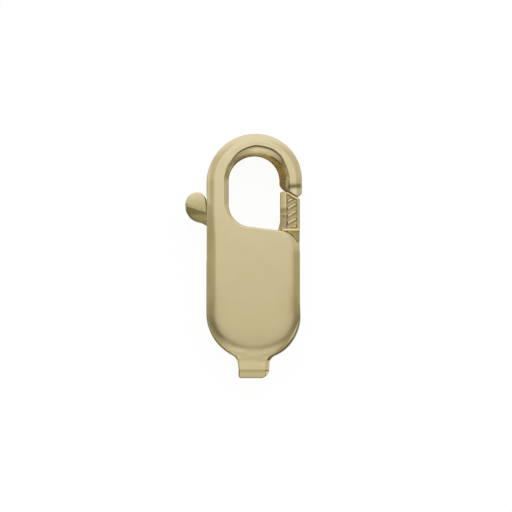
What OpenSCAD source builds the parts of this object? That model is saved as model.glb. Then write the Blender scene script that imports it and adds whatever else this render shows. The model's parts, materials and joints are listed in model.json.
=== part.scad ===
// Lobster clasp for a chain, lying on its flat back. All sizes are in millimetres.
// X runs across the body, Y from the tail loop to the hook, Z out of the front face.
// The origin is on the back face, at the centre of the body's round tail end.

/* [Shell] */
// Length of the whole clasp, from the tail loop to the top of the hook
overall_l = 13.0; // [12.6:0.1:13.8]
// Width of the body
body_w = 4.95; // [4.8:0.05:5.2]
// Depth of the body and hook, from the back face to the front face
body_d = 2.5; // [2.4:0.05:3]
// Thickness of the stamped sheet
sheet_t = 0.4; // [0.34:0.01:0.42]
// How far in from the outline the rounded rim reaches
rim_w = 0.45; // [0.25:0.01:0.5]
// How far down from the face the rounded rim reaches
rim_d = 0.5; // [0.25:0.01:0.7]
// Width of the seam between the two half shells
seam_w = 0.1; // [0.04:0.01:0.16]
// Depth of the seam
seam_deep = 0.05; // [0.02:0.01:0.08]
// How far the back half shell sits to the right of the front one, at the tail
back_shift = 0.14; // [0:0.01:0.16]

/* [Hook] */
// How far the hook stands out past the right side of the body
hook_over = 0.11; // [0:0.01:0.2]
// Width of the hook's bar, seen from the front
bar_w = 1.155; // [1.1:0.01:1.2]
// Length of the opening, from the top of the hook to the mouth of the body
opening_l = 3.83; // [3.7:0.05:4]
// How far the hook's tip reaches below the centre of the hook, in the middle of the bar
tip_reach = 0.64; // [0.56:0.02:0.74]
// Slope of the tip's end and of the gate's end, in degrees
tip_slope = 28; // [20:1:32]

/* [Mouth] */
// Slope of the body's upper edge, in degrees
mouth_slope = 6.8; // [4:0.2:8]
// Radius of the hollow corner between the arm and the body's upper edge
mouth_r = 1.2; // [1.05:0.05:1.3]
// Radius of the body's upper right corner
shoulder_r = 1.21; // [1.1:0.05:1.3]

/* [Tail loop] */
// How far the loop stands out from the round end of the body
loop_l = 0.975; // [0.9:0.025:1.2]
// Width of the folded strip where it leaves the body
loop_w = 1.45; // [1.4:0.05:1.7]
// Width of the folded strip at its end
loop_end_w = 1.36; // [1.2:0.02:1.4]
// Depth of the loop, over both legs
loop_d = 1.6; // [1.5:0.05:1.68]
// Thickness of the strip in the loop
strip_t = 0.38; // [0.3:0.01:0.4]
// Outer radius of the two bends at the end of the loop
bend_r = 0.48; // [0.44:0.02:0.6]
// Radius of the hollow corners between the body and the loop
web_r = 0.43; // [0.3:0.01:0.5]
// Radius of the loop's corners, seen from the front
end_r = 0.15; // [0.08:0.01:0.2]
// Metal between the round end of the body and the loop's eye
root_web = 0.03; // [0.02:0.01:0.06]

/* [Trigger] */
// Width of the gate
gate_w = 1.0; // [0.96:0.01:1.03]
// Gap between the trigger and the front and back sheets
trigger_side_gap = 0.08; // [0.07:0.01:0.15]
// How far the gate's outer face sits in from the side of the body
gate_set = 0.025; // [0.01:0.005:0.05]
// Gap between the gate's end and the hook's tip
tip_gap = 0.07; // [0.05:0.01:0.1]
// Cut across the inner corner of the gate's end
nose_cut = 0.12; // [0.06:0.01:0.18]
// Height above the pivot at which the gate starts to widen
flare_h = 2.35; // [2.1:0.05:2.5]
// Width of the bevel along the gate's inner edges
bevel_w = 0.24; // [0.15:0.01:0.25]
// Depth of that bevel
bevel_deep = 0.2; // [0.1:0.01:0.3]
// Radius of the round boss at the pivot
hub_r = 0.75; // [0.7:0.01:0.8]
// Distance from the centre of the upper right corner down to the pivot
pivot_drop = 0.456; // [0.36:0.02:0.56]
// Width of the lever inside the body
lever_w = 0.66; // [0.5:0.02:0.68]
// Length over which the lever widens into the stem
lever_flare = 0.75; // [0.5:0.05:0.9]
// Radius of the stem below the thumb knob
stem_r = 0.52; // [0.44:0.01:0.56]
// Radius of the thumb knob
knob_r = 0.69; // [0.62:0.01:0.72]
// How far the knob's centre stands out from the side of the body
knob_out = 0.465; // [0.44:0.01:0.7]
// Rise of the lever from the pivot to the knob, in degrees
lever_rise = 32.5; // [31.5:0.5:33]
// Angle by which the gate opens, in degrees
open_angle = 22; // [18:1:23]

/* [Ornament] */
// Width of the sunk panel on the gate
panel_w = 0.6; // [0.5:0.02:0.62]
// Length of the panel
panel_l = 1.5; // [1.3:0.05:1.6]
// Border between the panel and the gate's outer face and end
panel_edge = 0.12; // [0.1:0.01:0.14]
// Depth of the panel
panel_deep = 0.09; // [0.07:0.01:0.12]
// Number of slanted bars in the panel
bar_count = 6; // [4:1:7]
// Width of each bar
bar_line_w = 0.09; // [0.06:0.01:0.12]
// Height of each bar above the floor of the panel
bar_line_h = 0.06; // [0.03:0.01:0.06]
// Slant of the bars, in degrees
bar_slant = 30; // [20:5:40]

/* [Pivot pin and spring] */
// Radius of the pivot pin
pin_r = 0.35; // [0.3:0.01:0.38]
// How deep the pin's ends sit in the front and back sheets
pin_seat = 0.2; // [0.1:0.01:0.2]
// Thickness of the leaf spring
spring_t = 0.15; // [0.1:0.01:0.2]
// Gap between the spring's edges and the front and back sheets
spring_side_gap = 0.2; // [0.1:0.05:0.35]
// Gap between the top of the spring's fixed leg and the boss
spring_leg_gap = 0.5; // [0.3:0.1:0.9]
// Gap between the spring's free end and the left side wall
spring_end_gap = 0.68; // [0.6:0.02:0.9]

/* [Clearances] */
// Radial running gap between the pin and the trigger
run_gap = 0.03; // [0.02:0.01:0.06]
// Gap between the pin and its seats
seat_gap = 0.01; // [0.005:0.005:0.02]
// Gap between the trigger and the shell where the trigger sweeps past
sweep_gap = 0.1; // [0.06:0.01:0.12]
// Gap between the spring and what it lies against
spring_gap = 0.04; // [0.03:0.01:0.06]

/* [Hidden] */
$fn = 64;
gold = "#cdb98a";
// How far a cutting tool runs past the surface that it cuts
over = 0.5;
mid_z = body_d / 2;
half_w = body_w / 2;
inside_x = half_w - sheet_t;

// Centres of the outline's arcs: tail end, hook, mouth corner and shoulder
tail_c = [0, 0];
hook_r = (body_w + hook_over) / 2;
hook_c = [hook_r - half_w, overall_l - loop_l - half_w - hook_r];
inner_r = hook_r - bar_w;
mouth_c = [hook_c.x - inner_r + mouth_r, hook_c.y + inner_r - opening_l + mouth_r];
mouth_n = [sin(mouth_slope), cos(mouth_slope)];
mouth_line = mouth_c * mouth_n - mouth_r;
shoulder_x = half_w - shoulder_r;
shoulder_c = [shoulder_x, (mouth_line - shoulder_r - mouth_n.x * shoulder_x) / mouth_n.y];

// The hook's free end: the middle of its sloping cut, and the round end of the blank beyond it
tip = [hook_c.x + (hook_r + inner_r) / 2, hook_c.y - tip_reach];
blank_end = tip - [0, bar_w / 2];
cut_l = 1.2 * bar_w;

// Steps along each arc of the outline, and around the rim
blank_steps = 4;
hook_steps = 18;
mouth_steps = 8;
shoulder_steps = 8;
tail_steps = 10;
rim_steps = 4;
side_stations = mouth_steps + shoulder_steps + 2;

// The gate's faces, the pivot, the knob, and the lever's axis with the way across it
gate_x1 = half_w - gate_set;
gate_x0 = gate_x1 - gate_w;
pivot = [gate_x1 - hub_r, shoulder_c.y - pivot_drop];
lever_u = [-cos(lever_rise), sin(lever_rise)];
lever_n = [lever_u.y, -lever_u.x];
lever_end = (pivot.x + inside_x) / cos(lever_rise);
knob = pivot + lever_u * (pivot.x + half_w + knob_out) / cos(lever_rise);
trigger_z = sheet_t + trigger_side_gap;
trigger_top = body_d - trigger_z;

// The gate's end: a slope that runs beside the hook's tip, down to the outer face
gate_end_y = tip.y - tip_gap / cos(tip_slope);
nose = [gate_x0 + nose_cut, gate_end_y + (tip.x - gate_x0 - nose_cut) * tan(tip_slope)];
heel = [gate_x1, gate_end_y - (gate_x1 - tip.x) * tan(tip_slope)];

// The space between the sheets: the arm's channel, the lever's slot and the gate's side opening
open_rise = lever_rise - open_angle;
channel_x = hook_c.x - inner_r - sheet_t;
channel_low = lever_top(channel_x);
knob_top = knob.y + sqrt(max(0, knob_r * knob_r - knob_out * knob_out)) + sweep_gap;
slot_top = max(knob_top, lever_top(-half_w));
slot_low = pivot.y + (pivot.x + inside_x) * tan(open_rise) - stem_r / cos(open_rise) - sweep_gap;
side_low = pivot.y - sqrt(pow(hub_r + sweep_gap, 2) - pow(inside_x - pivot.x, 2));

// Height that clears the closed lever at the place x
function lever_top(x) =
    pivot.y + (pivot.x - x) * tan(lever_rise) + stem_r / cos(lever_rise) + sweep_gap;

// Points along an arc, from one angle to another
function arc(centre, r, from, to, steps) =
    [for (i = [0 : steps]) let (a = from + (to - from) * i / steps) centre + r * [cos(a), sin(a)]];

// The crossing of two lines, each given by a point and a direction
function crossing(p, u, q, v) =
    p + u * ((q.x - p.x) * v.y - (q.y - p.y) * v.x) / (u.x * v.y - u.y * v.x);

// The outline from the blank's end over the outside of the hook to the tail, moved in by inset
function outer_side(inset) = concat(
    arc(blank_end, bar_w / 2 - inset, -90, 0, blank_steps),
    arc(hook_c, hook_r - inset, 0, 180, hook_steps),
    [for (i = [1 : side_stations])
        [inset - half_w, mouth_c.y + (shoulder_c.y - mouth_c.y) * i / side_stations]],
    arc(tail_c, half_w - inset, 180, 270, tail_steps));

// The outline from the blank's end along the opening and the right side to the tail
function inner_side(inset) = concat(
    arc(blank_end, bar_w / 2 - inset, -90, -180, blank_steps),
    arc(hook_c, inner_r + inset, 0, 180, hook_steps),
    arc(mouth_c, mouth_r + inset, 180, 270 - mouth_slope, mouth_steps),
    arc(shoulder_c, shoulder_r - inset, 90 - mouth_slope, 0, shoulder_steps),
    arc(tail_c, half_w - inset, 0, -90, tail_steps));

// Share of the back half's shift at height y, from none at the hook to all of it at the tail
function lean(y) = min(1, max(0, (hook_c.y - y) / (hook_c.y - tail_c.y)));

// One closed ring of the outline at the level z
function ring(z, inset, shift) =
    let (outer = outer_side(inset), inner = inner_side(inset), last = len(outer) - 1)
    [for (p = concat(outer, [for (j = [last - 1 : -1 : 1]) inner[j]]))
        [p.x + shift * lean(p.y), p.y, z]];

// Height, inset and sideways shift of each ring, from the back face over the seam to the front
rim = [for (i = [0 : rim_steps]) let (a = 90 * i / rim_steps)
    [rim_d * (1 - cos(a)), rim_w * (1 - sin(a))]];
levels = concat(
    [for (step = rim) [step[0], step[1], back_shift]],
    [[mid_z - seam_w / 2, 0, back_shift], [mid_z - seam_w / 4, seam_deep, back_shift],
     [mid_z + seam_w / 4, seam_deep, 0], [mid_z + seam_w / 2, 0, 0]],
    [for (i = [rim_steps : -1 : 0]) [body_d - rim[i][0], rim[i][1], 0]]);

// The outside of both half shells and the hook, as rings joined by walls. Each flat face is a
// row of strips across the bar and the body, from the outer side of the outline to the inner
module outside_form() {
    rings = [for (level = levels) ring(level[0], level[1], level[2])];
    count = len(rings[0]);
    last = count / 2;
    top = (len(rings) - 1) * count;
    across = [for (j = [0 : last]) j == 0 || j == last ? j : count - j];
    walls = [for (k = [0 : len(rings) - 2]) for (i = [0 : count - 1])
        let (a = k * count + i, b = k * count + (i + 1) % count)
        each [[a, a + count, b + count], [a, b + count, b]]];
    strips = [for (j = [0 : last - 1])
        each [[j, j + 1, across[j + 1]], [j, across[j + 1], across[j]]]];
    back = [for (f = strips) if (f[0] != f[2] && f[1] != f[2]) f];
    front = [for (f = back) [top + f[2], top + f[1], top + f[0]]];
    polyhedron(points = [for (r = rings) each r], faces = concat(walls, back, front));
}

// The folded strip at the tail: its outline from the front, crossed with its outline from the side
module tail_loop() {
    reach = half_w + loop_l;
    web = [loop_w / 2 + web_r, -sqrt(pow(half_w + web_r, 2) - pow(loop_w / 2 + web_r, 2))];
    web_end = atan2(-web.y, -web.x);
    right = concat(
        arc([loop_end_w / 2 - end_r, end_r - reach], end_r, -90, 0, 3),
        arc(web, web_r, 180, web_end, 6),
        [inside_x * -web / norm(web)]);
    left = [for (i = [len(right) - 1 : -1 : 0]) [-right[i].x, right[i].y]];
    eye_r = bend_r - strip_t;
    low = mid_z - loop_d / 2;
    high = mid_z + loop_d / 2;
    intersection() {
        linear_extrude(body_d) polygon(concat(right, left));
        rotate([90, 0, 90]) linear_extrude(body_w, center = true) polygon(
            points = concat([[-inside_x, high]],
                arc([bend_r - reach, high - bend_r], bend_r, 90, 180, 5),
                arc([bend_r - reach, low + bend_r], bend_r, 180, 270, 5),
                [[-inside_x, low]],
                [[-half_w - root_web, low + strip_t]],
                arc([bend_r - reach, low + bend_r], eye_r, 270, 180, 3),
                arc([bend_r - reach, high - bend_r], eye_r, 180, 90, 3),
                [[-half_w - root_web, high - strip_t]]),
            paths = [[for (i = [0 : 13]) i], [for (i = [14 : 23]) i]]);
    }
}

// The space between the two sheets
module inside_space() {
    translate([0, 0, sheet_t]) linear_extrude(body_d - 2 * sheet_t) {
        circle(inside_x);
        polygon([[-inside_x, 0], [inside_x, 0], [inside_x, side_low], [body_w, side_low],
            [body_w, channel_low], [channel_x, channel_low], [channel_x, slot_top],
            [-body_w, slot_top], [-body_w, slot_low], [-inside_x, slot_low]]);
    }
}

// The sloping cut that ends the hook, with all of the blank beyond it
module tip_cut() {
    translate([tip.x, tip.y, -over]) rotate(-tip_slope) translate([-cut_l, -cut_l, 0])
        cube([2 * cut_l, cut_l, body_d + 2 * over]);
}

module shell() color(gold) difference() {
    union() {
        outside_form();
        tail_loop();
    }
    inside_space();
    tip_cut();
    translate([pivot.x, pivot.y, sheet_t - pin_seat])
        cylinder(r = pin_r + seat_gap, h = body_d - 2 * (sheet_t - pin_seat));
}

// The trigger seen from the front: gate, boss and lever in one outline
module trigger_outline() {
    half = lever_w / 2;
    flare = [gate_x0, pivot.y + flare_h];
    waist = pivot + lever_u * (lever_end - lever_flare);
    root = pivot + lever_u * lever_end;
    polygon(concat(
        [heel, nose, [gate_x0, nose.y - nose_cut], flare,
         crossing(flare, pivot - [hub_r, 0] - flare, pivot + lever_n * half, lever_u),
         waist + lever_n * half, root + lever_n * stem_r,
         root - lever_n * stem_r, waist - lever_n * half],
        arc(pivot, hub_r, 180 - lever_rise + asin(half / hub_r), 360, 12)));
}

// The bevel along the gate's inner edge, at the front face
module bevel_cut() {
    translate([0, nose.y + over, trigger_top]) rotate([90, 0, 0])
        linear_extrude(nose.y + over - pivot.y - hub_r) polygon([
            [gate_x0 - bevel_w, -2 * bevel_deep], [gate_x0 + 2 * bevel_w, bevel_deep],
            [gate_x0 - bevel_w, bevel_deep]]);
}

// The sunk panel with its row of slanted bars
module panel_cut() {
    step = panel_l / bar_count;
    floor_z = trigger_top - panel_deep;
    middle = gate_x1 - panel_edge - panel_w / 2;
    translate([middle, heel.y - panel_edge - panel_l, floor_z]) difference() {
        translate([-panel_w / 2, 0, 0]) cube([panel_w, panel_l, panel_deep + over]);
        for (i = [0 : bar_count - 1])
            translate([0, (i + 0.5) * step, bar_line_h - over]) rotate(bar_slant)
                translate([-panel_w, -bar_line_w / 2, 0]) cube([2 * panel_w, bar_line_w, over]);
    }
}

module trigger() color(gold) difference() {
    union() {
        translate([0, 0, trigger_z]) linear_extrude(trigger_top - trigger_z) trigger_outline();
        translate([knob.x, knob.y, mid_z]) {
            sphere(knob_r);
            rotate([0, 90, -lever_rise]) cylinder(r = stem_r, h = norm(knob - pivot) - lever_end + stem_r);
        }
    }
    translate([pivot.x, pivot.y, 0]) cylinder(r = pin_r + run_gap, h = body_d);
    bevel_cut();
    translate([0, 0, 2 * mid_z]) mirror([0, 0, 1]) bevel_cut();
    panel_cut();
}

module pivot_pin() color("#c2b184")
    translate([pivot.x, pivot.y, sheet_t - pin_seat + seat_gap])
        cylinder(r = pin_r, h = body_d - 2 * (sheet_t - pin_seat + seat_gap));

// A leaf bent to the tail end of the body. Its right leg lies on the side wall, and its left leg
// rises to the underside of the lever
module return_spring() {
    bend = inside_x - spring_gap;
    z0 = sheet_t + spring_side_gap;
    tip_drop = lever_w / 2 + spring_gap + spring_t / 2;
    end_x = spring_end_gap + spring_t / 2 - inside_x;
    end = [end_x, pivot.y + (pivot.x - end_x) * tan(lever_rise) - tip_drop / cos(lever_rise)];
    color("silver") translate([0, 0, z0]) linear_extrude(body_d - 2 * z0) {
        difference() {
            circle(bend);
            circle(bend - spring_t);
            translate([-body_w, 0]) square(2 * body_w);
        }
        translate([bend - spring_t, 0])
            square([spring_t, pivot.y - hub_r - spring_leg_gap]);
        polygon([[-bend, 0], [spring_t - bend, 0],
            end + [spring_t / 2, 0], end - [spring_t / 2, 0]]);
    }
}

shell();
trigger();
pivot_pin();
return_spring();
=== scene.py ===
"""Lobster clasp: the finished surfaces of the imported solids, on a pale floor under soft light.

X runs across the body, Y from the tail loop to the hook, Z out of the front face. Outlines are
worked out in millimetres, and every mesh is made in metres.
"""
import json
from math import atan2, cos, degrees, pi, prod, radians, sin, sqrt, tan

import bmesh
import bpy
import numpy as np
from mathutils import Matrix, Vector


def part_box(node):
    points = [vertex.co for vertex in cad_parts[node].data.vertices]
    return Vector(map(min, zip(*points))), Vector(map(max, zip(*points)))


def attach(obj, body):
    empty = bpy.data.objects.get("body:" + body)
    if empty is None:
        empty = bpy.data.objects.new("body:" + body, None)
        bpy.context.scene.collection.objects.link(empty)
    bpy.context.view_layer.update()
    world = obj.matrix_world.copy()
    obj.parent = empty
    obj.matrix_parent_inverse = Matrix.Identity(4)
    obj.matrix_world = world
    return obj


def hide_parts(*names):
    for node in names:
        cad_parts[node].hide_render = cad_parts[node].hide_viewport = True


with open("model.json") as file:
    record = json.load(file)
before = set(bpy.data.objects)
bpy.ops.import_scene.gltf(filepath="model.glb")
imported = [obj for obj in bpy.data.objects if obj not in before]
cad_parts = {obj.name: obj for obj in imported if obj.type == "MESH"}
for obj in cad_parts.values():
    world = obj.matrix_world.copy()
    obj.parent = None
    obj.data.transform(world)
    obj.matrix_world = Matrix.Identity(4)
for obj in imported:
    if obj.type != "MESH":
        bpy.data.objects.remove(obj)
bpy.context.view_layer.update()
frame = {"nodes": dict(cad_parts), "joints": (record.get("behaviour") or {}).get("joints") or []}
MM = 0.001

# Sizes read from the frame, in millimetres
shell_low, shell_high = (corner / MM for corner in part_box("shell"))
trigger_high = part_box("trigger")[1] / MM
PIVOT = np.array(frame["joints"][0]["pos_m"][:2]) / MM
HALF_W = -shell_low.x
DEPTH = shell_high.z
MID = DEPTH / 2
LOOP_END = shell_low.y
HOOK_TOP = shell_high.y
TRIGGER_TOP = trigger_high.z

# Driving sizes of the outline, in millimetres and degrees
HOOK_OVER = 0.11
BAR_W = 1.155
OPENING_L = 3.83
MOUTH_R = 1.2
MOUTH_SLOPE = 6.8
SHOULDER_R = 1.21
TIP_REACH = 0.607
TIP_SLOPE = 30
TIP_ROUND = 0.2
TOE_ROUND = 0.5
LOOP_W = 1.5
LOOP_END_W = 1.4
LOOP_DEPTH = 2.0
STRIP_T = 0.38
BEND_L = 0.43
EYE_BEND = 0.1
WEB_R = 0.45
LOOP_ROUND = 0.15
ROOT_WEB = 0.03
SHEET_T = 0.4
BACK_SHIFT = 0.22
FRONT_SHIFT = 0.065
HOOK_LEAN = 0.07
# How far the cut at the hook's end moves along X and Y per millimetre down
TIP_SKEW = (0.013, 0.035)
# The shallow dip across the hook's end: middle, depth, and half widths above and below the middle
DIP_Y = 6.725
DIP_DEEP = 0.02
DIP_HALVES = (0.08, 0.22)
DIP_FADES = [("x", 1.8, 2.1), ("x", 2.6, 2.45)]
# The dome of the front face: drop at the sides and at the ends, its middle, and half its length
CROWN_ACROSS = 0.03
CROWN_ALONG = 0.06
CROWN_Y = 3.0
CROWN_HALF_L = 6.5

# Centres worked out from them
HOOK_R = HALF_W + HOOK_OVER / 2
INNER_R = HOOK_R - BAR_W
HOOK_C = np.array([HOOK_R - HALF_W, HOOK_TOP - HOOK_R])
TAIL_C = np.array([0.0, 0.0])
BEND_Y = LOOP_END + BEND_L
MOUTH_C = HOOK_C + [MOUTH_R - INNER_R, INNER_R - OPENING_L + MOUTH_R]
TILT = radians(MOUTH_SLOPE)
MOUTH_NORMAL = np.array([sin(TILT), cos(TILT)])
SHOULDER_X = HALF_W - SHOULDER_R
SHOULDER_AWAY = MOUTH_C @ MOUTH_NORMAL - MOUTH_R - SHOULDER_R
SHOULDER_Y = (SHOULDER_AWAY - MOUTH_NORMAL[0] * SHOULDER_X) / MOUTH_NORMAL[1]
SHOULDER_C = np.array([SHOULDER_X, SHOULDER_Y])
TIP = HOOK_C + [HOOK_R - BAR_W / 2, -TIP_REACH]
CUT = radians(TIP_SLOPE)


def smooth(x, low, high):
    """From 0 at low to 1 at high, eased at both ends. It falls where low is above high."""
    t = np.clip((np.asarray(x, float) - low) / (high - low), 0, 1)
    return t * t * (3 - 2 * t)


def bump(x, centre, half):
    """A smooth bump, 1 at the centre and about a third at half away."""
    return np.exp(-((np.asarray(x, float) - centre) / half) ** 2)


def softly(value, soft):
    """Nothing below 0 and the value itself above, with a soft turn between."""
    return soft * np.logaddexp(0, np.asarray(value, float) / soft)


def product(rule, rows, x, y):
    """A product of smooth steps or bumps. Each row is an axis and the two numbers of the rule."""
    return prod(rule(x if axis == "x" else y, *pair) for axis, *pair in rows)


def table_at(rows, place):
    """The other columns of a table at a place in its first column."""
    first, *others = zip(*rows)
    return [np.interp(place, first, column) for column in others]


# Mesh tools

def mesh_object(name, points, faces):
    """A mesh object from points in millimetres, with its faces turned outwards."""
    mesh = bpy.data.meshes.new(name)
    mesh.from_pydata((np.asarray(points) * MM).tolist(), [], faces)
    work = bmesh.new()
    work.from_mesh(mesh)
    bmesh.ops.remove_doubles(work, verts=work.verts, dist=1e-8)
    bmesh.ops.dissolve_degenerate(work, edges=work.edges, dist=1e-9)
    bmesh.ops.recalc_face_normals(work, faces=work.faces)
    work.to_mesh(mesh)
    work.free()
    made = bpy.data.objects.new(name, mesh)
    bpy.context.scene.collection.objects.link(made)
    return made


def ring_faces(rings, count):
    """The faces between closed rings of points, and the two ends."""
    faces = []
    for k in range(rings - 1):
        for i in range(count):
            j = (i + 1) % count
            faces.append((k * count + i, k * count + j, (k + 1) * count + j, (k + 1) * count + i))
    return faces + [tuple(range(count))[::-1], tuple(range((rings - 1) * count, rings * count))]


def extruded(name, outline, low, high, skew=(0.0, 0.0)):
    """A prism on a plan outline, for a cut. Skew is how far it moves sideways per millimetre down."""
    points = []
    for z in (low, high):
        down = DEPTH - z
        points += [(x + skew[0] * down, y + skew[1] * down, z) for x, y in outline]
    return mesh_object(name, points, ring_faces(2, len(outline)))


def arc(centre, radius, start, stop, steps):
    """Points along an arc, angles in degrees."""
    turns = np.radians(np.linspace(start, stop, steps + 1))
    return [(centre[0] + radius * cos(a), centre[1] + radius * sin(a)) for a in turns]


def lathe(name, centre, profile, steps):
    """A solid of revolution about an upright axis, from pairs of radius and height."""
    points = []
    for radius, height in profile:
        points += [(x, y, height) for x, y in arc(centre, radius, 0, 360, steps)[:-1]]
    return mesh_object(name, points, ring_faces(len(profile), steps))


def combine(target, tool, operation):
    """Adds the tool to the target or cuts it out, and removes the tool."""
    step = target.modifiers.new(operation, "BOOLEAN")
    step.operation = operation
    step.solver = "EXACT"
    step.object = tool
    bpy.context.view_layer.update()
    evaluated = target.evaluated_get(bpy.context.evaluated_depsgraph_get())
    result = bpy.data.meshes.new_from_object(evaluated)
    target.modifiers.clear()
    target.data = result
    bpy.data.objects.remove(tool)


def shade(target, limit, crease=None):
    """Smooth shading with sharp edges over the limit in degrees, and where crease says so."""
    mesh = target.data
    mesh.shade_smooth()
    mesh.set_sharp_from_angle(angle=radians(limit))
    if crease is not None:
        ends = np.zeros(len(mesh.edges) * 2, int)
        mesh.edges.foreach_get("vertices", ends)
        marked = crease(*points_of(target))[ends].reshape(-1, 2).all(axis=1)
        for i in np.nonzero(marked)[0]:
            mesh.edges[i].use_edge_sharp = True


def points_of(target):
    """The X, Y and Z of an object's vertices, in millimetres."""
    co = np.zeros(len(target.data.vertices) * 3, np.float32)
    target.data.vertices.foreach_get("co", co)
    return (co.reshape(-1, 3) / MM).T.astype(float)


def paint(target, name, values):
    """Stores one number per vertex, which a material reads by its name."""
    layer = target.data.attributes.new(name, "FLOAT", "POINT")
    layer.data.foreach_set("value", np.clip(values, 0, 1).astype(np.float32))


# The outline as stations: a section's name, the share along it, a point and the way into the metal.
# Steps of each section. The outer and the inner side have as many in all

STEPS = {
    "end": 3, "tip_side": 40, "tip_in": 40, "hook_out": 96, "hook_in": 96, "arm_out": 16, "arm_in": 16,
    "left_high": 68, "mouth": 26, "slope": 16, "shoulder": 26, "left": 40, "right": 40,
    "tail": 40, "web": 12, "tab": 12, "tab_bend": 10, "loop_corner": 6,
}


def round_part(section, centre, radius, start, stop, hollow=False):
    """Stations along an arc, angles in degrees. Hollow means that the metal lies outside the arc."""
    rows = []
    steps = STEPS[section]
    for i in range(1, steps + 1):
        angle = radians(start + (stop - start) * i / steps)
        away = np.array([cos(angle), sin(angle)])
        rows.append((section, i / steps, centre + radius * away, away if hollow else -away))
    return rows


def straight_part(section, start, stop, inward):
    """Stations along a straight stretch."""
    steps = STEPS[section]
    start, stop, inward = (np.array(v, float) for v in (start, stop, inward))
    return [(section, i / steps, start + (stop - start) * i / steps, inward) for i in range(1, steps + 1)]


def upright_part(section, x, start, stop, inward):
    """Stations along an upright stretch, with the metal to its right for 1 and to its left for -1."""
    return straight_part(section, [x, start], [x, stop], [inward, 0])


END_DROP = 0.6
ACROSS = 56


def outline_chains():
    """The outer and the inner side of the outline, from the hook's tip to the end of the tail loop."""
    right_x = HOOK_C[0] + HOOK_R
    wall_x = HOOK_C[0] + INNER_R
    end_y = TIP[1] - END_DROP
    first = ("end", 0.0, np.array([TIP[0], end_y]), np.array([0.0, 1.0]))
    mouth_end = MOUTH_C - MOUTH_R * MOUTH_NORMAL
    slope_end = SHOULDER_C + SHOULDER_R * MOUTH_NORMAL
    outer = [first]
    outer += straight_part("end", first[2], [right_x - EDGE_R, end_y], [0, 1])
    outer += upright_part("tip_side", right_x, end_y, HOOK_C[1], -1)
    outer += round_part("hook_out", HOOK_C, HOOK_R, 0, 180)
    outer += upright_part("arm_out", -HALF_W, HOOK_C[1], MOUTH_C[1], 1)
    outer += upright_part("left_high", -HALF_W, MOUTH_C[1], SHOULDER_C[1], 1)
    outer += upright_part("left", -HALF_W, SHOULDER_C[1], 0, 1)
    inner = [first]
    inner += straight_part("end", first[2], [wall_x + EDGE_R, end_y], [0, 1])
    inner += upright_part("tip_in", wall_x, end_y, HOOK_C[1], 1)
    inner += round_part("hook_in", HOOK_C, INNER_R, 0, 180, hollow=True)
    arm_x = HOOK_C[0] - INNER_R
    inner += upright_part("arm_in", arm_x, HOOK_C[1], MOUTH_C[1], -1)
    inner += round_part("mouth", MOUTH_C, MOUTH_R, 180, 270 - MOUTH_SLOPE, hollow=True)
    inner += straight_part("slope", mouth_end, slope_end, -MOUTH_NORMAL)
    inner += round_part("shoulder", SHOULDER_C, SHOULDER_R, 90 - MOUTH_SLOPE, 0)
    inner += upright_part("right", HALF_W, SHOULDER_C[1], 0, -1)
    return outer + tail_part(-1), inner + tail_part(1)


def tail_part(side):
    """Half of the tail: the round end, the hollow web and the strip of the loop. Side is -1 or 1."""
    web_x = LOOP_W / 2 + WEB_R
    web_y = -sqrt((HALF_W + WEB_R) ** 2 - web_x ** 2)
    meet = degrees(atan2(-web_y, web_x))
    rows = round_part("tail", TAIL_C, HALF_W, 0, -meet)
    rows += round_part("web", np.array([web_x, web_y]), WEB_R, 180 - meet, 180, hollow=True)
    corner_c = np.array([LOOP_END_W / 2 - LOOP_ROUND, LOOP_END + LOOP_ROUND])
    bend_x = LOOP_END_W / 2
    rows += straight_part("tab", [LOOP_W / 2, web_y], [bend_x, BEND_Y], [-1, 0])
    rows += upright_part("tab_bend", bend_x, BEND_Y, corner_c[1], -1)
    rows += round_part("loop_corner", corner_c, LOOP_ROUND, 0, -90)
    flip = np.array([side, 1])
    return [(section, t, p * flip, n * flip) for section, t, p, n in rows]


# The rounded rim, by section of the outline. Each row: share along the section, width of the rim,
# slope at its outer edge, the part of the width taken by the bend, and radius of the edge

RIM_ROWS = {
    "end": [(0, 0.06, 20, 1, 0.03), (1, 0.06, 20, 1, 0.03)],
    "tip_side": [(0, 0.34, 44, 1, 0.02), (1, 0.36, 46, 1, 0.02)],
    "hook_out": [(0, 0.36, 46, 1, 0.02), (0.5, 0.5, 46, 1, 0.02), (1, 0.46, 48, 1, 0.02)],
    "arm_out": [(0, 0.46, 48, 1, 0.02), (0.7, 0.46, 45, 0.95, 0.02), (1, 0.46, 31, 0.8, 0.02)],
    "left_high": [(0, 0.46, 31, 0.8, 0.02), (0.15, 0.46, 27, 0.7, 0.02), (1, 0.46, 24, 0.6, 0.04)],
    "slope": [(0, 0.1, 14, 1, 0.03), (1, 0.1, 14, 1, 0.03)],
    "shoulder": [(0, 0.1, 14, 1, 0.03), (1, 0.3, 20, 0.6, 0.04)],
}
# The bands down both sides of the body: half width of the face that they leave, softness of its edge,
# and the softness that it widens to at the tail, starting from a height
BANDS = {"left": (2.0, 0.05, 0.085), "right": (2.08, 0.09, 0.14)}
WIDENS_FROM = 1.5
# Softness of the face's edge round the tail, and the angle from its side where that is reached
TAIL_SOFT = 0.08
TAIL_SOFT_BY = 28
# How many times its softness a turn is set out, so that the face stays flat up to it
SOFT_OUT = 1.2
BAND_SLOPE = 22
BAND_REACH = 0.52
# The rim's row for a section that the table above leaves out
PLAIN_RIM = (0, 0.46, 22, 1, 0.04)
# Share of the band in the rim where it comes in, from the start of a section to its end
BAND_SHARES = {"left_high": (0, 1), "left": (1, 1), "shoulder": (0, 1), "right": (1, 1)}
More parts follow.
